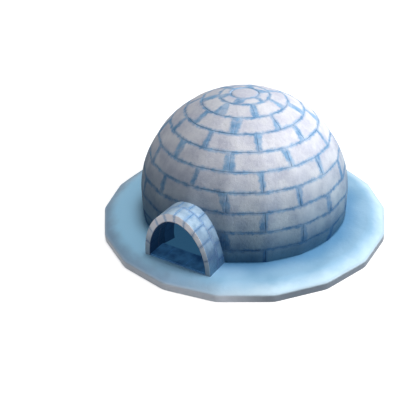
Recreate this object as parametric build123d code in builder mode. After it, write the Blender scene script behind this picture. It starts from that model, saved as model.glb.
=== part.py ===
"""Igloo of snow blocks on a plinth of packed snow, with an arched entrance tunnel.

Frame: origin at the bottom centre of the plinth, +Z up, the entrance faces -Y. Millimetres and degrees.
Angles round the dome are counted from the entrance, towards +X.
"""

import os
from math import atan2, cos, degrees, radians, sin, sqrt

from build123d import *

# --- dome: leaning courses of blocks, each block cut flat on two facets that meet at its middle
dome_radius = 1808              # out to the corners of the facets
dome_centre_rise = 295          # the dome's centre above the plinth
wall = 200
block_counts = (9, 9, 9, 9, 9, 9, 9, 8, 7, 6)
first_joint_angles = (0, 20, 0, 20, 0, 20, 0, 20, -7.5, 15)
first_bed_angle = -1.6          # of the lowest bed joint, above the level of the dome's centre
course_angle = 9.8              # how much of the arc each course covers
cap_bed_angle = 82.5            # of the bed joint under the cap block
cap_sides = 12

# --- joints: blocks stand apart, and packed snow fills the space between them
joint = 30
joint_recess = 14               # how deep the packed snow lies behind the face
joint_lap = 18                  # how far it may rise past a bed joint, up to a course with other facets
worn = 13                       # worn edges of the blocks' outer faces

# --- plinth: one mass of packed snow, a polygon whose shoulder slopes up to a flat top
plinth_sides = 18
plinth_margin = 686             # how far its corners stand out past the dome's
plinth_rim_height = 131
plinth_height = 218
plinth_shoulder = 255           # how far the slope runs inwards
plinth_rim_round = 30
plinth_top_ease = 27            # how far the bevel at the top reaches to each side of the slope's end

# --- entrance tunnel: an arch of two rings against the dome, half an ellipse inside and out
doorway_half_width = 515
doorway_height = 770
arch_side_thickness = 90
arch_top_thickness = 140
tunnel_reach = 290              # how far the face of the tunnel stands out past the dome's radius
ring_joint_reach = 52           # how far the joint between the rings does
voussoirs = 10
voussoir_worn = 9               # worn edges of the voussoirs
seat = 0.3                      # between the rear ring and the dome
floor_thickness = 26
floor_side_gap = 1.5
floor_setback = 12              # behind the face of the tunnel
floor_tuck = 63                 # how far the slabs reach in past the dome's radius
floor_joint_places = (-275, 130)    # across the tunnel, from its middle line
floor_joint_width = 14

plinth_radius = dome_radius + plinth_margin
tunnel_half_width = doorway_half_width + arch_side_thickness
tunnel_height = doorway_height + arch_top_thickness
tunnel_front = dome_radius + tunnel_reach
ring_joint_place = dome_radius + ring_joint_reach
floor_back = dome_radius - floor_tuck
dome_centre = plinth_height + dome_centre_rise
inner_radius = dome_radius - wall
beds = [first_bed_angle + course_angle * k for k in range(len(block_counts) - 1)] + [cap_bed_angle]
across = Plane(origin=(0, 0, plinth_height), x_dir=(1, 0, 0), z_dir=(0, -1, 0))
reach = 2 * dome_radius         # long enough to cut right through anything


def on_bed(radius, angle, offset=0):
    """Point of the dome's section at a radius, on the line that lies offset above a bed joint."""
    along = sqrt(radius**2 - offset**2)
    lean = radians(angle)
    return (
        along * cos(lean) - offset * sin(lean),
        dome_centre + along * sin(lean) + offset * cos(lean),
    )


def foot_of_course(course, radius, offset=joint / 2):
    """Lower corner of a course's section: on the plinth, or above the bed joint below it."""
    if course == 0:
        return (sqrt(radius**2 - dome_centre_rise**2), plinth_height)
    return on_bed(radius, beds[course - 1], offset)


def bent_piece(corners, angle, end_gap=0, edge=0):
    """A solid of two flat-faced halves that meet at its middle, which points along +X.

    corners is its section at the middle, angle is the turn from end to end round the dome's axis,
    and each end stands back by end_gap from the upright plane that closes that angle. The edges
    round its outer face are bevelled by edge.
    """
    facet = radians(angle / 4)
    facet_plane = Plane(
        origin=(0, 0, 0), x_dir=(cos(facet), sin(facet), 0), z_dir=(sin(facet), -cos(facet), 0)
    )
    end = Vector(-sin(2 * facet), cos(2 * facet), 0)
    with BuildPart() as piece:
        with BuildSketch(facet_plane) as section:
            with BuildLine():
                Polyline([(x * cos(facet), z) for x, z in corners], close=True)
            make_face()
            if edge:
                chamfer(section.vertices().sort_by_distance((0, dome_centre))[-2:], edge)
        extrude(amount=dome_radius, both=True)
        split(bisect_by=Plane(origin=(0, 0, 0), z_dir=(0, 1, 0)), keep=Keep.TOP)
        split(bisect_by=Plane(origin=end * -end_gap, z_dir=end), keep=Keep.BOTTOM)
        mirror(about=Plane.XZ)
        if edge:
            outer_faces = piece.faces().sort_by_distance((0, 0, dome_centre))[-2:]
            ends = outer_faces.edges().sort_by(Axis.Y)
            chamfer((ends[0], ends[-1]), edge)
    return piece.part


def arch(half_width, height):
    """Half an ellipse that stands on the floor line."""
    with BuildSketch() as face:
        with BuildLine():
            EllipticalCenterArc((0, 0), half_width, height, 0, arc_size=180)
            Line((-half_width, 0), (half_width, 0))
        make_face()
    return face.sketch


def voussoir_joint_angles(shift):
    """Directions of the joints in one ring of the arch, seen from the middle of the floor."""
    for step in range(1, voussoirs + 1):
        turn = radians(180 * (step - shift) / voussoirs)
        if step - shift < voussoirs:
            yield degrees(atan2(doorway_height * sin(turn), doorway_half_width * cos(turn)))


def is_extrados(face):
    """True for the faces on the outer curve of the arch."""
    middle = across.to_local_coords(face.position_at(0.5, 0.5))
    return abs((middle.X / tunnel_half_width) ** 2 + (middle.Y / tunnel_height) ** 2 - 1) < 0.01


def in_ring(count, start):
    """Places round the dome's axis for the pieces of a course, one of which begins at the angle start."""
    return PolarLocations(0, count, start_angle=start + 180 / count - 90)


def write(part, label):
    part.label = label
    export_step(part, f"parts/{label}.step")


os.makedirs("parts", exist_ok=True)

# Plinth: upright rim, sloping shoulder and a bevel that eases it into the flat top.
plinth_rise = plinth_height - plinth_rim_height
plinth_outline = (
    (0, plinth_rim_height),
    (plinth_shoulder - plinth_top_ease, plinth_height - plinth_rise * plinth_top_ease / plinth_shoulder),
    (plinth_shoulder + plinth_top_ease, plinth_height),
)
with BuildPart() as plinth:
    with BuildSketch():
        RegularPolygon(plinth_radius, plinth_sides, rotation=90)
    extrude(amount=plinth_rim_height)
    for inwards, height in plinth_outline:
        with BuildSketch(Plane.XY.offset(height)):
            RegularPolygon(plinth_radius - inwards, plinth_sides, rotation=90)
    loft(ruled=True)
    fillet(plinth.edges().filter_by_position(Axis.Z, plinth_rim_height, plinth_rim_height), plinth_rim_round)
write(plinth.part, "base_plinth")

# Courses: rings of wedge-shaped blocks. The doorway cuts through the lowest ones.
layout = list(zip(block_counts, first_joint_angles)) + [(cap_sides // 2, first_joint_angles[-1])]
block_faces = (dome_radius, inner_radius)
courses = []
for course, (count, start) in enumerate(layout[:-1]):
    block_corners = [foot_of_course(course, radius) for radius in block_faces]
    block_corners += [on_bed(radius, beds[course], -joint / 2) for radius in reversed(block_faces)]
    with BuildPart() as ring:
        with in_ring(count, start):
            add(bent_piece(block_corners, 360 / count, joint / 2, worn))
        with BuildSketch(across):
            add(arch(doorway_half_width, doorway_height))
        extrude(amount=dome_radius, mode=Mode.SUBTRACT)
    write(ring.part, f"course_{course + 1:02d}")
    courses.append(ring.part)

# Cap: a plug of many sides that wedges into the last course, a little domed on top and below.
cap_corners = [(0, dome_centre + inner_radius), on_bed(inner_radius, cap_bed_angle, joint / 2)]
cap_corners += [on_bed(dome_radius, cap_bed_angle, joint / 2), (0, dome_centre + dome_radius)]
with BuildPart() as cap:
    with in_ring(*layout[-1]):
        add(bent_piece(cap_corners, 720 / cap_sides))
write(cap.part, "cap_block")

# Packed snow: fills the upright joints of each course and the bed joint, up to the course above.
packed_faces = (dome_radius - joint_recess, inner_radius + joint_recess)
for course, (count, start) in enumerate(layout[:-1]):
    next_count, next_start = layout[course + 1]
    above_corners = [
        on_bed(radius, beds[course], joint / 2 + rise)
        for radius, rise in (
            (dome_radius + wall, 0),
            (dome_radius + wall, 3 * joint_lap),
            (inner_radius - wall, 3 * joint_lap),
            (inner_radius - wall, 0),
        )
    ]
    packing_corners = [foot_of_course(course, radius) for radius in packed_faces]
    packing_corners += [
        on_bed(radius, beds[course], joint / 2 + joint_lap) for radius in reversed(packed_faces)
    ]
    with BuildPart() as above:
        with in_ring(next_count, next_start):
            add(bent_piece(above_corners, 360 / next_count))
    with BuildPart() as packing:
        with in_ring(count, start):
            add(bent_piece(packing_corners, 360 / count))
        with BuildSketch(across):
            add(arch(doorway_half_width, doorway_height))
        extrude(amount=dome_radius, mode=Mode.SUBTRACT)
        add(courses[course], mode=Mode.SUBTRACT)
        add(above.part, mode=Mode.SUBTRACT)
    write(packing.part, f"packing_{course + 1:02d}")

# Tunnel: two rings of voussoirs, the rear one cut to the facets of the dome, and the snow between them.
half_course = radians(course_angle / 2)
skin_radius = (dome_radius + seat) * cos(half_course - joint / 2 / dome_radius) / cos(half_course)
with BuildPart() as dome_front:
    for course in range(4):
        low, high = foot_of_course(course, skin_radius, 0), on_bed(skin_radius, beds[course])
        wedge = bent_piece([(0, low[1]), low, high, (0, high[1])], 720 / plinth_sides)
        for side in (-1, 0, 1):
            add(wedge.rotate(Axis.Z, -90 + side * 720 / plinth_sides))

rings = (
    ("front_arch", ring_joint_place + joint / 2, tunnel_front, 0),
    ("rear_arch", inner_radius, ring_joint_place - joint / 2, 0.5),
)
ring_parts = []
for label, back, front, shift in rings:
    with BuildPart() as ring:
        with BuildSketch(across.offset(back)):
            add(arch(tunnel_half_width, tunnel_height))
            add(arch(doorway_half_width, doorway_height), mode=Mode.SUBTRACT)
            for angle in voussoir_joint_angles(shift):
                Rectangle(reach, joint, rotation=angle, align=(Align.MIN, Align.CENTER), mode=Mode.SUBTRACT)
        extrude(amount=front - back)
        worn_faces = ring.faces().filter_by(Axis.Y).group_by(Axis.Y)[0] + ring.faces().filter_by(is_extrados)
        chamfer(set(worn_faces.edges()), voussoir_worn)
        add(dome_front.part, mode=Mode.SUBTRACT)
    write(ring.part, label)
    ring_parts.append(ring.part)

with BuildPart() as tunnel_packing:
    with BuildSketch(across.offset(inner_radius)):
        add(arch(tunnel_half_width - joint_recess, tunnel_height - joint_recess))
        add(arch(doorway_half_width + joint_recess, doorway_height + joint_recess), mode=Mode.SUBTRACT)
    extrude(amount=tunnel_front - joint_recess - inner_radius)
    for part in (dome_front.part, *ring_parts):
        add(part, mode=Mode.SUBTRACT)
write(tunnel_packing.part, "tunnel_packing")

# Floor: slabs on the plinth, from the face of the tunnel to just under the face of the wall.
with BuildPart() as floor:
    with BuildSketch(Plane.XY.offset(plinth_height)):
        with Locations((0, -floor_back)):
            Rectangle(
                2 * (doorway_half_width - floor_side_gap),
                tunnel_front - floor_setback - floor_back,
                align=(Align.CENTER, Align.MAX),
            )
        with Locations(*[(place, 0) for place in floor_joint_places]):
            Rectangle(floor_joint_width, 2 * reach, mode=Mode.SUBTRACT)
    extrude(amount=floor_thickness)
write(floor.part, "tunnel_floor")
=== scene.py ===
# %% [markdown]
# # Snow-block igloo
# An igloo is a dome of snow blocks that lean inwards on each other, ring above ring, until one round block
# closes the top. A short arched tunnel leads in, and a low plinth of packed snow carries it all.
#
# A CAD program has already built it from plain solids, which fix every size and place. This script dresses
# them: the blocks get worn edges, a soft relief and packed snow between them, and then come the colours, the
# camera and the light. Each step says first what it makes, how else that could be done, and why it isn't.

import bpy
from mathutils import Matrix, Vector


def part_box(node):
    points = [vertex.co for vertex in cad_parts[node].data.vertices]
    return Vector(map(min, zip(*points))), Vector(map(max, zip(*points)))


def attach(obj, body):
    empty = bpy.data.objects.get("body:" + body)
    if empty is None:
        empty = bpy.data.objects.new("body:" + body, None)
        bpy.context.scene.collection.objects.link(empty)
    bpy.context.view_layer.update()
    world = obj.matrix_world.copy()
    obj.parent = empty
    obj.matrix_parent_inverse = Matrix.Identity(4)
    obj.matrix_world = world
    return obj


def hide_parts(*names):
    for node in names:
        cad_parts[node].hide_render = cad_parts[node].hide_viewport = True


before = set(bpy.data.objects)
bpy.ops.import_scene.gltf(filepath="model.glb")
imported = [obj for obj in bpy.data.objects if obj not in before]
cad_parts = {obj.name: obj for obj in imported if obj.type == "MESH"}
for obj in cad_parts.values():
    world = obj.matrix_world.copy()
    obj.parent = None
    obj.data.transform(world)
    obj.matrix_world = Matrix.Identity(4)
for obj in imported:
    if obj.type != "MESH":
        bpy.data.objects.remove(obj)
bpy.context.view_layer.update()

# %% Modules for the steps below
from math import cos, pi, radians, sin, sqrt
from random import Random

import bpy
from mathutils import Vector

print("modules ready")

# %% [markdown]
# ## Sizes
# Every course of the real dome is a ring of blocks between two bed joints, and all the bed joints point at
# the middle of the dome. The blocks could be measured one by one on the solids, but a rule takes far fewer
# numbers: the radius, the thickness of the wall, the lean of each bed joint and the blocks in a course. The
# rules below repeat the solids' own numbers, so what they make lies where the solids are. Lengths are in
# metres. Angles round the dome start at the entrance, which faces -Y, and grow towards +X.

# %% The dome
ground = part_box("base_plinth")[1].z                     # the top of the plinth
dome_radius, wall = 1.808, 0.2                          # out to the corners of the dome's flat sides
inner_radius = dome_radius - wall
dome_centre = ground + 0.295                            # height of the point that the bed joints aim at
print("plinth top at", round(ground, 3), "m, dome centre at", round(dome_centre, 3), "m")

# %% Its courses
first_bed, course_angle, cap_bed = -1.6, 9.8, 82.5      # degrees above the level of the dome's centre
beds = [radians(first_bed + course_angle * k) for k in range(9)] + [radians(cap_bed)]
blocks_in_course = (9, 9, 9, 9, 9, 9, 9, 8, 7, 6)
first_joint = (0, 20, 0, 20, 0, 20, 0, 20, -7.5, 15)    # degrees round the dome
print(len(beds), "courses with", sum(blocks_in_course), "blocks")

# %% [markdown]
# ## Sums that build node trees
# Nodes can be placed and joined by hand in the editor. A long chain of Math nodes is hard to read there, and
# easy to read as a sum, so the trees are written as sums. A Signal wraps one output of a node. Adding or
# multiplying Signals adds Math nodes, or Vector Math nodes where a vector or a colour takes part, and the
# node method adds any other node. The same class serves geometry trees and materials.

# %% Signal
class Signal:
    """One output of a node, and what can be reckoned from it."""

    def __init__(self, socket):
        self.socket, self.tree = socket, socket.id_data

    def node(self, kind, inputs, out=0, **settings):
        """Adds a node; inputs maps a socket's name or number to a number, a vector or a Signal."""
        made = self.tree.nodes.new(kind)
        for name, value in settings.items():
            setattr(made, name, value)
        for key, value in inputs.items():
            socket = made.inputs[key]
            if isinstance(value, Signal):
                self.tree.links.new(value.socket, socket)
            elif isinstance(value, (int, float)) and socket.type in ("VECTOR", "RGBA"):
                socket.default_value = [value] * len(socket.default_value)
            elif socket.type == "RGBA":
                socket.default_value = (*value, 1)
            else:
                socket.default_value = value
        return Signal(made.outputs[out])

    def math(self, operation, *values):
        """A Math node, or a Vector Math node where a vector or a colour takes part."""
        signals = [value for value in (self, *values) if isinstance(value, Signal)]
        wide = any(signal.socket.type in ("VECTOR", "RGBA") for signal in signals)
        wide = wide or any(isinstance(value, tuple) for value in values)
        kind = "ShaderNodeVectorMath" if wide else "ShaderNodeMath"
        return self.node(kind, dict(enumerate((self, *values))), operation=operation)

    def __add__(self, other): return self.math("ADD", other)
    def __radd__(self, other): return self.math("ADD", other)
    def __sub__(self, other): return self.math("SUBTRACT", other)
    def __rsub__(self, other): return self.math("MULTIPLY", -1).math("ADD", other)
    def __mul__(self, other): return self.math("MULTIPLY", other)
    def __rmul__(self, other): return self.math("MULTIPLY", other)
    def __truediv__(self, other): return self.math("DIVIDE", other)
    def __rtruediv__(self, other): return self.math("POWER", -1).math("MULTIPLY", other)
    def __pow__(self, other): return self.math("POWER", other)
    def __neg__(self): return self.math("MULTIPLY", -1)
    def __abs__(self): return self.math("ABSOLUTE")

    def least(self, other): return self.math("MINIMUM", other)
    def most(self, other): return self.math("MAXIMUM", other)

    def between(self, low, high, start=0.0, end=1.0):
        """Eases from start at low to end at high."""
        return self.node("ShaderNodeMapRange", {0: self, 1: low, 2: high, 3: start, 4: end},
                         interpolation_type="SMOOTHSTEP")

    def part(self, axis):
        """One number of a vector: 0 is x, 1 is y and 2 is z."""
        return self.node("ShaderNodeSeparateXYZ", {0: self}, axis)

    def vector(self, x, y, z):
        """A vector, in the tree that this Signal belongs to."""
        return self.node("ShaderNodeCombineXYZ", {0: x, 1: y, 2: z})

    def noise(self, scale, detail=2.0, seed=0.0, out=0):
        """Smooth noise from 0 to 1 at this place, with scale bumps in a metre; out 1 gives three at once."""
        return self.node("ShaderNodeTexNoise", {"Vector": self, "W": seed, "Scale": scale, "Detail": detail},
                         out, noise_dimensions="4D")

    def mix(self, start, end):
        """A colour that goes from start to end as this value goes from 0 to 1."""
        return self.node("ShaderNodeMix", {0: self, 6: start, 7: end}, 2, data_type="RGBA")


print("Signal ready, with", len([name for name in vars(Signal) if name.startswith("__r")]), "reflected sums")

# %% [markdown]
# ## From a tree to a piece
# Courses, arches and seams repeat one block many times, each time in another place and with other wear.
# Copying and bending blocks one by one would be slow and hard to change. A Geometry Nodes tree states the
# rule once and has named inputs for its sizes. It starts from bare points, one for each block, which carry
# that block's own numbers. The result is kept as a plain mesh, because an export knows nothing of modifiers,
# and it rides on the root body in place of a solid.

# %% A new tree with named inputs
def geometry_tree(name, inputs):
    """An empty geometry tree with named number inputs; returns it with a Signal for each input."""
    tree = bpy.data.node_groups.new(name, "GeometryNodeTree")
    tree.interface.new_socket("Geometry", in_out="INPUT", socket_type="NodeSocketGeometry")
    tree.interface.new_socket("Geometry", in_out="OUTPUT", socket_type="NodeSocketGeometry")
    for label, default in inputs.items():
        socket = tree.interface.new_socket(label, in_out="INPUT", socket_type="NodeSocketFloat")
        socket.default_value = default
    tree.interface.new_socket("Material", in_out="INPUT", socket_type="NodeSocketMaterial")
    entry = tree.nodes.new("NodeGroupInput")
    return tree, {socket.name: Signal(socket) for socket in entry.outputs if socket.name}


print("trees take their sizes by name")

# %% The end of a tree
def finish_tree(tree, geometry, place, material):
    """Moves the points to their place and ends the tree; nothing leaves it as an instance."""
    moved = place.node("GeometryNodeSetPosition", {"Geometry": geometry, "Position": place})
    smooth = place.node("GeometryNodeSetShadeSmooth", {"Geometry": moved})
    real = place.node("GeometryNodeRealizeInstances", {"Geometry": smooth})
    dressed = place.node("GeometryNodeSetMaterial", {"Geometry": real, "Material": material})
    leave = tree.nodes.new("NodeGroupOutput")
    tree.links.new(dressed.socket, leave.inputs[0])
    print(tree.name, "has", len(tree.nodes), "nodes")


print("every tree ends in real faces with a material")

# %% Numbers that travel with the points
def points_mesh(name, rows):
    """A mesh with one point for each row; the row's numbers are kept as attributes."""
    mesh = bpy.data.meshes.new(name)
    mesh.from_pydata([(0, 0, 0)] * len(rows), [], [])
    for label in rows[0]:
        numbers = mesh.attributes.new(label, "FLOAT", "POINT")
        numbers.data.foreach_set("value", [row[label] for row in rows])
    return mesh


def attribute(here, name):
    """A number that the points carry; here is any Signal of the tree."""
    return here.node("GeometryNodeInputNamedAttribute", {"Name": name}, data_type="FLOAT")


def keep(geometry, name, value):
    """Writes a number on the points, which the materials read later."""
    return geometry.node("GeometryNodeStoreNamedAttribute",
                         {"Geometry": geometry, "Name": name, "Value": value}, data_type="FLOAT")


print("points carry sizes into a tree and marks out of it")

# %% Run a tree and keep what it grew
def grown(name, mesh, tree, material, values, replaced):
    """Runs a tree on a mesh and keeps the result as one plain piece in place of a CAD node.

    A modifier knows its inputs by their identifiers, not by their names."""
    seedling = bpy.data.objects.new(name + "_seed", mesh)
    bpy.context.collection.objects.link(seedling)
    modifier = seedling.modifiers.new("grow", "NODES")
    modifier.node_group = tree
    sockets = {item.name: item.identifier for item in tree.interface.items_tree if item.in_out == "INPUT"}
    for label, value in {**values, "Material": material}.items():
        modifier[sockets[label]] = value
    evaluated = seedling.evaluated_get(bpy.context.evaluated_depsgraph_get())
    final = bpy.data.meshes.new_from_object(evaluated)
    bpy.data.objects.remove(seedling)
    piece = bpy.data.objects.new(name, final)
    bpy.context.collection.objects.link(piece)
    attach(piece, "root")
    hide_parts(replaced)
    print(name, "stands for", replaced, "with", len(final.polygons), "faces")
    return piece


print("trees can be run")

# %% [markdown]
# ## Flat sides and a soft skin
# Seen from above, the dome and the plinth have 18 flat sides. Each is cut straight with a snow knife, and
# the corners between them are worn soft. Flat faces could be modelled and bevelled, but then every block
# would need its own corners. Here one formula gives the distance of the side at any angle, so that all the
# trees lay their points on the same sides. A second helper makes the skin uneven: broad waves that the hand
# leaves, and a finer grain.

# %% Eighteen sides
facet = radians(10)                                     # half the angle that one flat side covers


def flats(turn, half, soften):
    """Distance of a softened polygon's side, as a share of its corners' radius, at an angle turn.

    Flat sides meet in round corners that reach soften radians to each side of the corner."""
    away = abs(turn.math("WRAP", half, -half))
    straight = half - soften
    bulge = away.least(straight) ** 2 * 0.5
    ease = soften ** 2 - (half - away).least(soften) ** 2
    return (bulge + straight * ease / (soften * 2) + 1) * cos(half)


print(round(pi / facet), "sides, at most", round((1 - cos(facet)) * dome_radius, 3), "m inside a circle")

# %% Relief
def relief(place, waves, grain, seed, detail=1.0, grain_share=0.6):
    """A push of about 1 in any direction; waves and grain are given in bumps per metre."""
    broad = place.noise(waves, detail, seed, 1) - 0.5
    fine = place.noise(grain, 2.0, seed, 1) - 0.5
    return broad * 1.6 + fine * grain_share


print("relief ready")

# %% [markdown]
# ## One rule for the blocks
# A block of the dome is a leaning wedge of wind-packed snow, up to 1.3 m long. It is bent where two flat
# sides of the dome meet, its edges are worn round, and no two are alike. A Bevel modifier on the solids
# would round their edges too, but it leaves long thin faces that can't take a relief. Here a finely divided
# cube stands for each block. It is rounded as a straight box first, where that is easy, and is then bent
# onto the dome. In the cube x runs round the dome, y through the wall and z up the arc.

# %% A divided cube for every point
def cube_on_points(points, rows):
    """Real cubes, not instances, because every point of every cube is moved on its own."""
    cube = points.node("GeometryNodeMeshCube", {
        "Size": (2, 2, 2), "Vertices X": rows[0], "Vertices Y": rows[1], "Vertices Z": rows[2]})
    placed = points.node("GeometryNodeInstanceOnPoints", {"Points": points, "Instance": cube})
    return points.node("GeometryNodeRealizeInstances", {"Geometry": placed})


def crowded(value):
    """Moves rows of points towards the ends, where the worn edges need them."""
    return (value * (pi / 2)).math("SINE") * 0.8 + value * 0.2


print("a cube runs from -1 to 1 each way, with more rows near its ends")

# %% A box with round edges
def rounded_box(place, half_size, radius):
    """Draws each place in to a smaller box, then goes out again by radius the shortest way."""
    core = half_size - radius
    inside = place.math("MINIMUM", core).math("MAXIMUM", core * -1)
    return inside + (place - inside).math("NORMALIZE") * radius


on_face = 0.99                                          # a cube's points past this lie on its face
print("boxes can be rounded")

# %% Inputs of the block rule
block_tree, given = geometry_tree("dome_block", {
    "Rows round": 46.0, "Rows deep": 5.0, "Rows high": 15.0, "Low bed": 0.0, "High bed": 0.17,
    "Soften": radians(2.5), "Bed joint": 0.003, "Wall": wall, "Door inset": 0.0, "Worn": 0.004,
    "Relief": 0.006, "Seed": 1.0})
here = given["Geometry"]
geometry = cube_on_points(here, (given["Rows round"], given["Rows deep"], given["Rows high"]))
place = here.node("GeometryNodeInputPosition", {})
across, depth, rise = crowded(place.part(0)), place.part(1), crowded(place.part(2))
print("the block rule has", len(given) - 2, "sizes")

# %% The doorway at the height of each point
doorway = (0.515, 0.770)                                # half width and height of half an ellipse
low = given["Low bed"] + given["Bed joint"] / (2 * dome_radius)
high = given["High bed"] - given["Bed joint"] / (2 * dome_radius)
lean = (low + high) / 2 + rise * (high - low) / 2
ring_radius = lean.math("COSINE") * dome_radius
height = lean.math("SINE") * dome_radius + (dome_centre - ground)
door_width = (1 - (height / doorway[1]) ** 2).most(0).math("SQRT") * doorway[0]
door = ((door_width + given["Door inset"]) / ring_radius).math("ARCSINE")
print("the doorway is", 2 * doorway[0], "m wide at the floor")

# %% Where a block begins and ends
right, left = attribute(here, "door_right"), attribute(here, "door_left")
round_the_back = 9                                      # radians: past any block, so it sets no limit
near = attribute(here, "start") + attribute(here, "near_gap") / ring_radius
far = attribute(here, "end") - attribute(here, "far_gap") / ring_radius
near = near.most(door * right + (right - 1) * round_the_back)
far = far.least((1 - left) * round_the_back - door * left)
print("blocks beside the doorway end at its curve")

# %% The straight box, with worn edges
half_size = here.vector((far - near) / 2 * ring_radius, given["Wall"] / 2, (high - low) / 2 * dome_radius)
flat = here.vector(across, depth, rise) * half_size
shaped = rounded_box(flat, half_size, given["Worn"] * attribute(here, "wear"))
print("boxes are rounded before they are bent")

# %% Marks for the colours
edge = half_size - abs(flat)                            # how far each point is from the block's ends
at_far = across.between(-0.4, 0.4)                      # 0 in the near part of the block, 1 in the far part
smear = (rise * attribute(here, "near_taper") + 1) * attribute(here, "near_smear") * (1 - at_far)
smear = smear + (rise * attribute(here, "far_taper") + 1) * attribute(here, "far_smear") * at_far
edge = (edge.part(0) - smear).least(edge.part(2))       # packing wiped past an end joint counts as joint
jamb = (across.math("LESS_THAN", -on_face) * right).most(across.math("GREATER_THAN", on_face) * left)
inner = depth.math("LESS_THAN", -on_face).most(jamb)
geometry = keep(keep(geometry, "edge", edge), "inner", inner)
print("marked: the distance to a joint, and the faces that look into the room")

# %% Bend it onto the dome
lean = (low + high) / 2 + shaped.part(2) / dome_radius
turn = (near + far) / 2 + shaped.part(0) / (lean.math("COSINE") * dome_radius)
out = dome_radius - wall / 2 + shaped.part(1) + attribute(here, "lift")
ring = out * lean.math("COSINE") * flats(turn - facet, facet, given["Soften"])
bent = here.vector(ring * turn.math("SINE"), -ring * turn.math("COSINE"),
                   out * lean.math("SINE") + dome_centre)
seed = attribute(here, "tone") * 40 + given["Seed"]     # each block has a relief of its own
bent = bent + relief(bent, waves=4.5, grain=19.0, seed=seed) * given["Relief"]
finish_tree(block_tree, geometry, bent, given["Material"])

# %% [markdown]
# ## One rule for the stones of the arch
# A voussoir is a wedge that, with its neighbours, holds up an arch. The tunnel has two rings of them, in
# half an ellipse. Snow blocks would be cut by eye to fit; in a model they could be sliced from an extruded
# arch, but then the edges of each slice would have to be worn afterwards. The rule for the dome works here
# too, with another bend. x runs along the arch, y from the inner face to the outer one and z along the
# tunnel. The rear ring runs on until it is a little inside the skin of the dome.

# %% Inputs of the voussoir rule
tunnel = (0.605, 0.910)                                 # half width and height of the arch's outer face
tunnel_front, ring_joint = 2.098, 1.860                 # how far out its face and the joint of its rings are
arch_tree, given = geometry_tree("voussoir", {
    "Rows round": 18.0, "Front": tunnel_front, "Back": 1.875, "Joint": 0.005, "Fill": 1.0, "Worn": 0.006,
    "Rim": 0.0, "Relief": 0.005, "Seed": 3.0})
here = given["Geometry"]
rows_deep, rows_long = 9, 14
geometry = cube_on_points(here, (given["Rows round"], rows_deep, rows_long))
place = here.node("GeometryNodeInputPosition", {})
along, depth, rise = crowded(place.part(0)), place.part(1), crowded(place.part(2))
print("the voussoir rule has", len(given) - 2, "sizes")

# %% Points of the arch
def on_arch(turn, depth):
    """x and z of a point of the arch: depth is -1 on the inner face and 1 on the outer one."""
    share = depth / 2 + 0.5
    x = turn.math("COSINE") * (share * (tunnel[0] - doorway[0]) + doorway[0])
    return x, turn.math("SINE") * (share * (tunnel[1] - doorway[1]) + doorway[1]) + ground


start, end = attribute(here, "start"), attribute(here, "end")
middle = (start + end) / 2
half_way = [(inside + outside) / 2 for inside, outside in zip(doorway, tunnel)]
pace = ((middle.math("SINE") * half_way[0]) ** 2 + (middle.math("COSINE") * half_way[1]) ** 2).math("SQRT")
print("half way through the arch: half width and height", [round(size, 3) for size in half_way])

# %% The back of the rear ring
x, z = on_arch(middle + along * (end - start) / 2, depth)
under_skin, tuck = dome_radius * 0.985, 0.992           # the dome's flat sides lie inside its radius
skin = (under_skin ** 2 - x ** 2 - (z - dome_centre) ** 2).most(0.01).math("SQRT") * tuck
back_end = given["Back"].most(skin)
print("the rear ring meets a ball with a radius of", round(under_skin, 3), "m")

# %% The straight stone and its marks
half_thick = 0.055                                      # of the arch, where its thickness is middling
half_length = (end - start) / 2 * pace - given["Joint"] / 2
half_size = here.vector(half_length, half_thick, (given["Front"] - back_end) / 2)
flat = here.vector(along, depth, rise) * half_size
shaped = rounded_box(flat, half_size, given["Worn"])
edge = half_size - abs(flat)
beyond_front = rise.math("GREATER_THAN", 0) * given["Rim"]      # Rim 1 keeps stain off the arch's front face
edge = edge.part(0).least(edge.part(2) + beyond_front)
geometry = keep(keep(geometry, "edge", edge), "inner", depth.math("LESS_THAN", -on_face))
geometry = keep(geometry, "front", rise.math("GREATER_THAN", on_face))
print("marked: the distance to a joint, the inner face and the front face")

# %% Bend it round the arch
x, z = on_arch(middle + shaped.part(0) / pace, shaped.part(1) / half_thick * given["Fill"])
bent = here.vector(x, (shaped.part(2) + (given["Front"] + back_end) / 2) * -1, z)
bent = bent + relief(bent, waves=6.0, grain=26.0, seed=middle * 9 + given["Seed"]) * given["Relief"]
finish_tree(arch_tree, geometry, bent, given["Material"])

# %% [markdown]
# ## One rule for soft snow
# The plinth and the cap are single masses without joints, trodden and rubbed smooth. They could be sculpted
# by hand, but a sculpted form has no numbers to correct. Their section, turned round the middle as on a
# potter's wheel, gives an even net of faces. The tree then spreads the net over the flat sides and lets the
# surface roll a little. It leaves the underside alone, which lies flat on the ground.

# %% The soft-snow rule
def from_axis(place):
    """Distance from the upright line through the middle of the dome."""
    return place.node("ShaderNodeVectorMath", {0: place * (1, 1, 0)}, 1, operation="LENGTH")


soft_tree, given = geometry_tree("soft_snow", {
    "Soften": radians(1.2), "Rim": 1.0, "Relief": 0.010, "Bumps per metre": 2.2, "Seed": 5.0})
place = given["Geometry"].node("GeometryNodeInputPosition", {})
turn = place.part(0).math("ARCTAN2", -place.part(1))
side = flats(turn - facet, facet, given["Soften"])
spread = place * place.vector(side, side, 1)
edge = given["Rim"] - from_axis(place)
roll = relief(spread, waves=given["Bumps per metre"], grain=14.0, seed=given["Seed"], detail=1.5,
              grain_share=0.35)
roll = roll * given["Relief"] * place.part(2).between(0, 0.04)
finish_tree(soft_tree, keep(given["Geometry"], "edge", edge), spread + roll, given["Material"])

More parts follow.
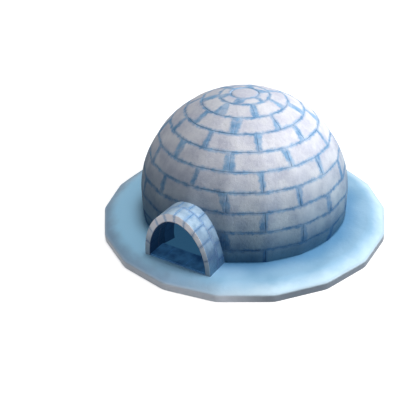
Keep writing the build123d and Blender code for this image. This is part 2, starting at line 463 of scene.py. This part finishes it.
# %% A turned mesh
def turned(name, profile, steps):
    """A closed turned mesh with steps faces round; profile lists (radius, height) from the middle below
    to the middle above."""
    turns = [2 * pi * k / steps for k in range(steps)]
    points = [(0, 0, profile[0][1])]
    for radius, height in profile[1:-1]:
        points += [(radius * sin(turn), -radius * cos(turn), height) for turn in turns]
    points.append((0, 0, profile[-1][1]))
    last = len(points) - 1
    faces = [(0, 1 + (k + 1) % steps, 1 + k) for k in range(steps)]
    for base in range(1, last - steps, steps):
        for k in range(steps):
            n = (k + 1) % steps
            faces.append((base + k, base + n, base + steps + n, base + steps + k))
    faces += [(last - steps + k, last - steps + (k + 1) % steps, last) for k in range(steps)]
    mesh = bpy.data.meshes.new(name)
    mesh.from_pydata(points, [], faces)
    return mesh


print("sections can be turned")

# %% [markdown]
# ## Colours
# Snow has no paint. It is white where the light strikes it, and blue where light has passed through much of
# it or where it is wet. An image could hold those colours, but it would blur close by and need unwrapping.
# Noise read at each point's own place in metres stays sharp and runs on from block to block. Colours are
# typed as they look on a screen, from 0 to 255, and turned into the numbers that light is reckoned in.

# %% Typed colours
def shade(*levels):
    """A colour in the numbers that light is reckoned in."""
    shares = [level / 255 for level in levels]
    return tuple(share / 12.92 if share <= 0.04045 else ((share + 0.055) / 1.055) ** 2.4 for share in shares)


print("middle grey is", [round(level, 3) for level in shade(128, 128, 128)])

# %% A new material and its links
def snow(name):
    """A material, its shader and a first Signal: the place on the object, in metres."""
    material = bpy.data.materials.new(name)
    material.use_nodes = True
    tree = material.node_tree
    coordinates = tree.nodes.new("ShaderNodeTexCoord")
    return material, tree.nodes["Principled BSDF"], Signal(coordinates.outputs["Object"])


def link(shader, name, signal):
    """Lets a Signal drive one of the shader's sockets."""
    shader.id_data.links.new(signal.socket, shader.inputs[name])


def fix(material, levels):
    """Sets what is the same all over the surface, on the shader's own sockets."""
    for name, level in levels.items():
        material.node_tree.nodes["Principled BSDF"].inputs[name].default_value = level
    print(material.name, "has", len(material.node_tree.nodes), "nodes and", levels)


def bumps(shader, height, distance):
    """Tilts the light on a surface as if it rose by distance metres where height is 1."""
    bump = height.node("ShaderNodeBump", {"Height": height, "Strength": 1, "Distance": distance})
    link(shader, "Normal", bump)


print("materials can be started, linked and set")

# %% [markdown]
# ## Stain and painted shade
# The joints of a snow wall are packed with loose snow, which freezes to bluish ice. It is wiped over the
# edges of the blocks too, so that a joint reads as a ragged blue line, wide at some ends and narrow along
# the beds. Such a line could be modelled as a rib, but it has hardly any height. The geometry trees have
# left a mark on every point, its distance to the nearest joint, and noise frays the limit. Lower down, a
# painted shade makes the snow bluer and darker, where less light reaches it.

# %% The stain beside a joint
def named(place, name):
    """A mark that a geometry tree left on the points."""
    return place.node("ShaderNodeAttribute", {}, "Fac", attribute_name=name)


def stain(place, width):
    """1 in the joints, 0 on the face of a block, with a ragged limit between; here and there it fades."""
    ragged = place.noise(16.0) * 0.6 + place.noise(44.0) * 0.4
    away = named(place, "edge") - (ragged - 0.5) * 0.12
    line = 1 - away.between(0, width * 2)
    return line * place.noise(8.0, 3.0, seed=9.0).between(0.35, 0.6, 0.6, 1.0)


print("joints can be stained")

# %% Painted shade towards the ground
# colours of the painted shade, each multiplied into the snow's colour
shoulder_shade_tint, foot_shade_tint = shade(146, 166, 178), shade(108, 155, 179)


def painted_low_shade(place, colour, patches):
    """Painted shade, two steps darker and bluer: a wide one from the dome's shoulder down, one at its foot.
    """
    level = place.part(2) + (patches - 0.5) * 0.3
    colour = level.between(ground + 0.50, ground + 1.85).mix(colour * shoulder_shade_tint, colour)
    return level.between(ground, ground + 0.80).mix(colour * foot_shade_tint, colour)


print("at the foot the colour is taken times", [round(level, 2) for level in foot_shade_tint])

# %% [markdown]
# ## Snow of the blocks
# Hard snow is a greyish white with paler frost flecks and almost no gloss. A single white would look like
# plaster, so two noises vary it: patches a third of a metre wide and flecks of a few centimetres. The faces
# that look into the room get a painted shade of dark blue and a faint painted glow, which stand in for the
# dark of the room and for daylight that comes through a snow wall. The glow could be real light passed
# through the wall, but that takes far longer to render.

# %% Block snow
block_snow, shader, place = snow("block_snow")
patches = place.noise(3.2, 3.0)
flecks = place.noise(22.0, 4.0)
face = patches.between(0.32, 0.66).mix(shade(206, 208, 223), shade(230, 231, 238))
face = (flecks.between(0.38, 0.68) * 0.25).mix(face, shade(240, 241, 247))
blue = place.noise(7.0, seed=4.0).between(0.3, 0.7).mix(shade(114, 159, 202), shade(154, 192, 226))
# painted shade: the colour grows darker and bluer towards the ground
colour = painted_low_shade(place, stain(place, 0.026).mix(face, blue), patches)
inner = named(place, "inner")
# the faces that look into the room get a painted shade of dark blue and a faint painted glow
link(shader, "Base Color", inner.mix(colour, shade(24, 52, 84)))
link(shader, "Emission Color", inner.mix((0, 0, 0), shade(12, 34, 56)))
bumps(shader, flecks * 0.6 + place.noise(90.0, 3.0) * 0.4, 0.012)
fix(block_snow, {"Roughness": 0.75, "Specular IOR Level": 0.08, "Emission Strength": 1})

# %% [markdown]
# ## Snow of the arch
# Hands and shoulders rub the tunnel, so its snow is icier: bluer and glossier. A painted shade darkens it
# towards the floor and on its right side, where the side sun lights it strongly. Its front face is painted
# nearly white, partly the white of freshly cut snow and partly painted light, and a faint painted glow lifts
# it, as it looks away from both suns. The inner faces get a painted shade of dark blue and a faint painted
# glow. Those faces could be cut off as an object with a material of its own, but a mark on their points does
# the same and leaves each stone whole.

# %% Arch snow: its faces
arch_snow, shader, place = snow("arch_snow")
patches = place.noise(6.0, 3.0)
flecks = place.noise(26.0, 4.0)
front = named(place, "front")
level = (place.part(2) + (patches - 0.5) * 0.25).between(ground + 0.05, ground + 0.92)
face = patches.between(0.35, 0.65).mix(shade(148, 176, 202), shade(188, 211, 230))
# the front face is painted nearly white: partly fresh snow, partly painted light for a face no sun reaches
face = front.mix(face, shade(240, 234, 238))
colour = (stain(place, 0.022) * 0.8).mix(face, shade(106, 155, 204))
# painted shade: darker towards the floor
colour = level.mix(colour * shade(92, 134, 158), colour)
# painted shade on the right side, which the side sun lights strongly
right = place.part(0).between(0.08, 0.50) * (1 - front)
colour = right.mix(colour, colour * shade(182, 196, 206))
print("the tunnel grows darker from", round(ground + 0.92, 2), "m down")

# %% Arch snow: its inner side, painted glow and finish
inner = named(place, "inner")
# a painted glow on the front face, weaker lower down
painted_front_glow = (front * (level * 0.55 + 0.45)).mix((0, 0, 0), shade(88, 92, 98))
# the inner faces get a painted shade of dark blue and a faint painted glow
link(shader, "Base Color", inner.mix(colour, shade(16, 42, 74)))
link(shader, "Emission Color", inner.mix(painted_front_glow, shade(5, 20, 38)))
bumps(shader, flecks * 0.6 + place.noise(90.0, 3.0) * 0.4, 0.010)
fix(arch_snow, {"Roughness": 0.45, "Emission Strength": 1})

# %% [markdown]
# ## Snow in the seams
# The snow that is pressed into the joints sets harder and bluer than the blocks. It shows only as a thread
# between their worn edges. It could share their material, but that would streak the thread with white. So it
# has a plain blue of its own, with the same painted shade low down as the blocks and a coarse bump in place
# of flecks.

# %% Seam snow
seam_snow, shader, place = snow("seam_snow")
patches = place.noise(8.0, 3.0)
packed = patches.between(0.3, 0.7).mix(shade(170, 204, 234), shade(196, 220, 242))
# painted shade: the colour grows darker and bluer towards the ground
link(shader, "Base Color", painted_low_shade(place, packed, patches))
bumps(shader, place.noise(30.0, 4.0), 0.012)
fix(seam_snow, {"Roughness": 0.6})

# %% [markdown]
# ## Snow of the plinth
# The plinth is trodden snow with a skin of ice. Its top is pale blue, painted lighter on the left, where the
# dome casts its shadow, and a painted shade deepens it beside the foot of the dome on the right. From left
# to right a painted shade and highlight take the shoulder from a grey blue to nearly white, and a painted
# shade takes the upright rim from white to grey. These zones could be separate faces with materials of their
# own, but hard limits would show. Here the distance from the middle, the height and the direction blend the
# colours, and noise makes the limits wander. Inside the room the floor gets a painted shade of dark blue and
# a faint painted glow.

# %% Plinth snow: where a point is
plinth_snow, shader, place = snow("plinth_snow")
radius = from_axis(place)
patches = place.noise(1.5)
streaks = (place * (1, 1, 3)).noise(4.0)
right, front = place.part(0) / radius, place.part(1) / radius * -1      # 1 straight to the right, or in front
rim = 1 - place.part(2).between(0.105, 0.150)
inside = 1 - radius.between(1.76, 1.80)
print("the plinth's zones follow its radius, its height and the two directions")

# %% Plinth snow: its top
top = patches.between(0.3, 0.7).mix(shade(134, 181, 212), shade(158, 200, 229))
# painted light: the top is lighter on the left, where the dome casts its shadow
top = right.between(-0.55, 0.1).mix(shade(166, 221, 252), top)
# painted shade: deeper blue beside the foot of the dome, deepest in front, kept to the right side
foot = front.between(0.4, 1.0).mix(shade(100, 158, 203), shade(72, 130, 177))
near = 1 - (radius + (patches - 0.5) * 0.3).between(1.76, 2.20)
top = (near * right.between(-0.3, 0.3) * 0.9).mix(top, foot)
# the shoulder: a painted shade of grey blue on the left, a painted highlight of near white on the right
shoulder_shade_and_highlight = right.between(0.0, 0.75).mix(shade(130, 158, 184), shade(209, 235, 250))
top = ((radius + (streaks - 0.5) * 0.16).between(2.20, 2.46) * 0.9).mix(top, shoulder_shade_and_highlight)
print("the shoulder's colour sets in at a radius of 2.2 m")

# %% Plinth snow: its rim, the floor of the room and the finish
# the upright rim: white on the left, greyed by painted shade on the right, where the side sun lights it
# strongly
side = right.between(0.2, 0.75).mix(shade(222, 229, 240), shade(104, 115, 127))
# the floor of the room gets a painted shade of dark blue and a faint painted glow
link(shader, "Base Color", inside.mix(rim.mix(top, side), shade(30, 62, 92)))
link(shader, "Emission Color", inside.mix((0, 0, 0), shade(40, 78, 106)))
bumps(shader, place.noise(12.0, 4.0) * 0.6 + place.noise(70.0, 3.0) * 0.2, 0.010)
fix(plinth_snow, {"Roughness": 0.45, "Specular IOR Level": 0.3, "Emission Strength": 1})

# %% [markdown]
# ## Snow of the tunnel's floor
# People crawl over these slabs, which makes them the iciest snow of all. Their dark blue is a painted shade
# and they have a faint painted glow. They could share the arch's material, but it reads marks that only a
# geometry tree leaves. In the shade of the tunnel little detail shows, so two blues in patches are enough.

# %% Floor snow
floor_snow, shader, place = snow("floor_snow")
patches = place.noise(7.0, 3.0).between(0.3, 0.7)
# painted shade of two dark blues, and below it a faint painted glow
link(shader, "Base Color", patches.mix(shade(44, 84, 124), shade(70, 118, 160)))
link(shader, "Emission Color", patches.mix(shade(12, 36, 64), shade(30, 64, 94)))
bumps(shader, place.noise(24.0, 3.0), 0.008)
fix(floor_snow, {"Roughness": 0.35, "Emission Strength": 1})

# %% [markdown]
# ## The dome
# The mason sets each course on the one below, with its end joints over the middles of the blocks, and wipes
# the joints full. Every course is one piece, as it is one part of the CAD model. Its blocks could be typed
# in one by one, but the list would be long. So the layout is worked out, and chance fills in what differs:
# the width of a joint, how far the packing is wiped, the wear and up to two millimetres of step. Its seed is
# fixed, so that each run gives the same dome. A block that crosses the middle of the doorway becomes two,
# one for each side. Towards the top the corners of the flat sides are softer, until the dome is nearly round.

# %% What differs from block to block
chance = Random(7)
gap, smear, taper = (0.001, 0.002), (0.004, 0.062), (-1.1, 1.0)
wear, lift = (0.7, 1.25), (0.0, 0.002)
courses_with_door = 3
print("packing is wiped up to", smear[1], "m past an end joint")

# %% The blocks of a course
def course_rows(course):
    """One row of numbers for each block of a course."""
    turn = 360 / blocks_in_course[course]
    has_door = course < courses_with_door
    rows = []
    for k in range(blocks_in_course[course]):
        start = first_joint[course] + k * turn
        start -= 360 * (start >= 180)
        split = has_door and start < 0 < start + turn
        for begin, end in ((start, 0), (0, start + turn)) if split else ((start, start + turn),):
            rows.append({
                "start": radians(begin), "end": radians(end),
                "door_right": float(has_door and begin == 0), "door_left": float(has_door and end == 0),
                "near_gap": chance.uniform(*gap), "far_gap": chance.uniform(*gap),
                "near_smear": chance.uniform(*smear), "far_smear": chance.uniform(*smear),
                "near_taper": chance.uniform(*taper), "far_taper": chance.uniform(*taper),
                "tone": chance.random(), "wear": chance.uniform(*wear), "lift": chance.uniform(*lift)})
    return rows


def without_gaps(rows):
    """The same blocks pushed together, for the packed snow that fills the space between them."""
    return [{**row, "near_gap": -0.004, "far_gap": -0.004, "lift": 0.0, "wear": 1.0} for row in rows]


print("courses can be laid out")

# %% Lay the courses
foot_bed = radians(-10.5)                               # the lowest course runs down into the plinth
seam_sizes = {
    "Rows round": 26.0, "Rows deep": 3.0, "Rows high": 11.0, "Bed joint": -0.008, "Wall": wall - 0.016,
    "Door inset": 0.006, "Worn": 0.003, "Relief": 0.004}
for course in range(len(blocks_in_course)):
    rows = course_rows(course)
    number = f"{course + 1:02d}"
    sizes = {
        "Low bed": beds[course - 1] if course else foot_bed, "High bed": beds[course],
        "Soften": radians(2.5 + 0.5 * course), "Seed": course * 3.0}
    piece = grown("blocks_" + number, points_mesh("points", rows), block_tree, block_snow,
                  sizes, "course_" + number)
    fill = grown("seams_" + number, points_mesh("points", without_gaps(rows)), block_tree, seam_snow,
                 {**sizes, **seam_sizes}, "packing_" + number)

# %% [markdown]
# ## The cap
# The last opening is closed by one round block. The mason pushes it out through the opening on edge, turns
# it flat and lowers it into the slope of the last course. It could be one more course of wedges that end in
# a point, but it is a single block, and such wedges crowd in the middle. As a turned form it has an even
# top, a round edge and a side that narrows downwards.

# %% The cap's edge
edge_lean = beds[-1] + 0.008
edge_radius = dome_radius * cos(beds[-1]) - 0.004
foot_radius = inner_radius * cos(beds[-1]) - 0.012
corner, corner_drop, crown_drop = 0.022, 0.024, 0.001   # the round edge: its radius and how deep it lies
corner_middle = edge_radius - corner
corner_height = dome_centre + (dome_radius - corner_drop) * sin(edge_lean)
print("the cap is", round(2 * edge_radius, 3), "m across")

# %% Its section and its piece
profile = [(0, dome_centre + inner_radius), (foot_radius * 0.5, dome_centre + inner_radius)]
for share in (0, 0.2, 0.4, 0.6, 0.8, 1):
    up = inner_radius + (wall - corner_drop) * share
    profile.append((foot_radius + (edge_radius - foot_radius) * share, dome_centre + up * sin(edge_lean)))
for angle in (15, 35, 55, 75):
    profile.append((corner_middle + corner * cos(radians(angle)),
                    corner_height + corner * sin(radians(angle))))
for k in range(8, -1, -1):
    radius = corner_middle * k / 9
    profile.append((radius, dome_centre + sqrt(dome_radius ** 2 - radius ** 2) - crown_drop))
cap = grown("cap", turned("cap", profile, steps=18 * 4), soft_tree, block_snow, {
    "Soften": radians(8), "Rim": edge_radius, "Relief": 0.006, "Bumps per metre": 6.0}, "cap_block")

# %% [markdown]
# ## The tunnel
# Ten voussoirs stand in the front ring and eleven in the rear one, so that the joints of the rings are
# staggered, as a mason wants them. Both rings come from the one rule and differ only in where they begin,
# where they end and where their joints lie. The packed snow between the stones is the same arch once more,
# a little thinner and with its own joints closed: it fills every gap at once, with no need to follow them.

# %% Two rings of voussoirs
stones, foot_turn, half_joint = 10, 4, 0.002            # the arch's feet stand 4 degrees below the floor
stone_turn = 180 / stones
for name, back_plane, front_plane, shift in (
        ("front_arch", ring_joint + half_joint, tunnel_front, 0),
        ("rear_arch", 0.0, ring_joint - half_joint, 0.5)):
    joints = [stone_turn * (k - shift) for k in range(1, stones + 1) if k - shift < stones]
    stops = [-foot_turn] + joints + [180 + foot_turn]
    rows = [{"start": radians(a), "end": radians(b)} for a, b in zip(stops, stops[1:])]
    piece = grown("stones_" + name, points_mesh(name, rows), arch_tree, arch_snow, {
        "Front": front_plane, "Back": back_plane, "Rim": float(name == "front_arch")}, name)
    print(len(rows), "stones, with their face", round(front_plane, 3), "m in front of the dome's middle")

# %% The packed snow between them
lengths = 8
stops = [(180 + 2 * foot_turn) / lengths * k - foot_turn for k in range(lengths + 1)]
rows = [{"start": radians(a), "end": radians(b)} for a, b in zip(stops, stops[1:])]
fill = grown("tunnel_seams", points_mesh("points", rows), arch_tree, seam_snow, {
    "Front": tunnel_front - 0.008, "Back": 0.0, "Joint": -0.006, "Fill": 0.84, "Worn": 0.003,
    "Relief": 0.003}, "tunnel_packing")

# %% [markdown]
# ## The plinth
# Snow is heaped, trodden flat and cut round the igloo, which leaves an upright rim, a worn corner and a
# slope that eases into the flat top. The solid has that section with sharp breaks. Subdividing it would
# round the breaks but also pull its corners in, so the section is drawn again, with the curves in it.

# %% From the underside to the corner of the rim
rim, rim_height, shoulder = 2.494, 0.131, 0.255         # radius of the corners, height, run of the slope
foot_round, corner, corner_drop = 0.012, 0.030, 0.020
side_height = rim_height - corner_drop - foot_round
profile = [(0, 0)] + [(rim * k / 6, 0) for k in range(1, 6)]
profile += [(rim - foot_round, 0), (rim - 0.004, 0.004), (rim, foot_round)]
profile += [(rim, foot_round + side_height * k / 5) for k in range(1, 6)]
for angle in (12, 26, 40, 54):
    profile.append((rim - corner + corner * cos(radians(angle)),
                    rim_height - corner_drop + corner * sin(radians(angle))))
print("the rim is upright for", round(side_height, 3), "m")

# %% From the slope to the middle of the top
start_radius, start_height = profile[-1]
ease, fullness = 0.05, 1.15                             # how far the slope's end is drawn out, and its curve
for k in range(1, 17):
    share = k / 16
    up = sin(share * pi / 2) ** fullness
    profile.append((start_radius - (shoulder + ease) * share, start_height + (ground - start_height) * up))
top_radius = profile[-1][0]
profile += [(top_radius * (1 - k / 44), ground) for k in range(1, 44)] + [(0, ground)]
plinth = grown("plinth", turned("plinth", profile, steps=18 * 14), soft_tree, plinth_snow,
               {"Relief": 0.008}, "base_plinth")
print("the top is flat inside a radius of", round(top_radius, 3), "m")

# %% [markdown]
# ## The tunnel's floor
# Three slabs of snow make the floor of the tunnel. They lie in the shade, and hardly an edge of them shows.
# They could be grown by the block rule, but their CAD form is right as it is, so only the material is new.

# %% Floor slabs
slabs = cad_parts["tunnel_floor"]
slabs.data.materials.clear()
slabs.data.materials.append(floor_snow)
print("tunnel_floor keeps its form, with", len(slabs.data.polygons), "faces")

# %% [markdown]
# ## Camera
# It stands about 12 m away, 32 degrees above the level of the plinth's rim and 30 degrees to the right of
# the entrance, so that both the doorway and the round of the dome show. It could be turned until the igloo
# sits where it should, but that changes how the lines converge. The lens is shifted a little instead.

# %% Camera
azimuth, elevation, distance = radians(29.8), radians(31.74), 11.88
aim = Vector((0, 0, rim_height))
back = Vector((sin(azimuth) * cos(elevation), -cos(azimuth) * cos(elevation), sin(elevation)))
lens = bpy.data.cameras.new("camera")
lens.sensor_width, lens.lens = 36, 57.1                 # millimetres
lens.shift_x, lens.shift_y = -0.0823, -0.00536          # shares of the frame
camera = bpy.data.objects.new("camera", lens)
camera.location = aim + distance * back
camera.rotation_euler = back.to_track_quat("Z", "Y").to_euler()
bpy.context.collection.objects.link(camera)
bpy.context.scene.camera = camera
bpy.context.scene.view_settings.view_transform = "Standard"
print("camera at", [round(place, 2) for place in camera.location])

# %% [markdown]
# ## Light
# Snow is seen in soft light from a hazy sky. Large area lamps could give it, but their light falls off with
# distance, so a wide object would be lit unevenly. A sun has the same strength everywhere, and a wide angle
# makes its shadows soft. The high sun lights the tops. The side sun stands low on the right and a little
# behind, and draws the round of the dome. A dim sky keeps the shaded side from going black.

# %% Two suns
suns = (                                                # strength, degrees wide, colour, where it stands
    ("high_sun", 1.28, 24, (0.98, 0.99, 1.0), (0.16, 0.13, 0.975)),
    ("side_sun", 3.2, 34, (1.0, 0.99, 0.98), (0.868, 0.25, 0.38)))
for name, energy, spread, colour, direction in suns:
    light = bpy.data.lights.new(name, "SUN")
    light.energy, light.angle, light.color = energy, radians(spread), colour
    sun = bpy.data.objects.new(name, light)
    sun.rotation_euler = Vector(direction).to_track_quat("Z", "Y").to_euler()
    bpy.context.collection.objects.link(sun)
    print(name, "has a strength of", energy, "and is", spread, "degrees wide")

# %% [markdown]
# ## Backdrop
# The igloo stands alone on white, as a catalogue shows it. More light would whiten the background, but the
# snow would burn out with it. Instead the sky and the floor are white only to the rays by which the camera
# sees them, straight, mirrored or through glass, and stay dim for all others. The floor still takes the
# igloo's shadow, faintly, and it isn't part of the igloo.

# %% Rays that see
def seen(signal):
    """1 for the rays by which the camera sees a thing, 0 for those that carry light to the snow."""
    kinds = ("Is Camera Ray", "Is Glossy Ray", "Is Transmission Ray")
    rays = [signal.node("ShaderNodeLightPath", {}, kind) for kind in kinds]
    return (rays[0] + rays[1] + rays[2]).least(1)


print("seen ready")

# %% Sky
world = bpy.data.worlds.new("world")
world.use_nodes = True
background = world.node_tree.nodes["Background"]
background.inputs["Strength"].default_value = 1
dim, white = (0.14, 0.15, 0.16), (1, 1, 1)
sky = seen(Signal(background.outputs[0])).mix(dim, white)
world.node_tree.links.new(sky.socket, background.inputs["Color"])
bpy.context.scene.world = world
print("the sky has", len(world.node_tree.nodes), "nodes")

# %% Floor
reach, below, glow = 60, 0.002, 0.75                    # metres each way, metres under the plinth, strength
corners = [(-reach, -reach, 0), (reach, -reach, 0), (reach, reach, 0), (-reach, reach, 0)]
mesh = bpy.data.meshes.new("floor")
mesh.from_pydata(corners, [], [(0, 1, 2, 3)])
floor = bpy.data.objects.new("floor", mesh)
floor.location.z = -below
bpy.context.collection.objects.link(floor)
material, shader, place = snow("studio_floor")
link(shader, "Emission Color", seen(place).mix((0, 0, 0), (glow, glow, glow)))
fix(material, {"Base Color": (0.5, 0.5, 0.5, 1), "Roughness": 0.9, "Emission Strength": 1})
mesh.materials.append(material)

# %% [markdown]
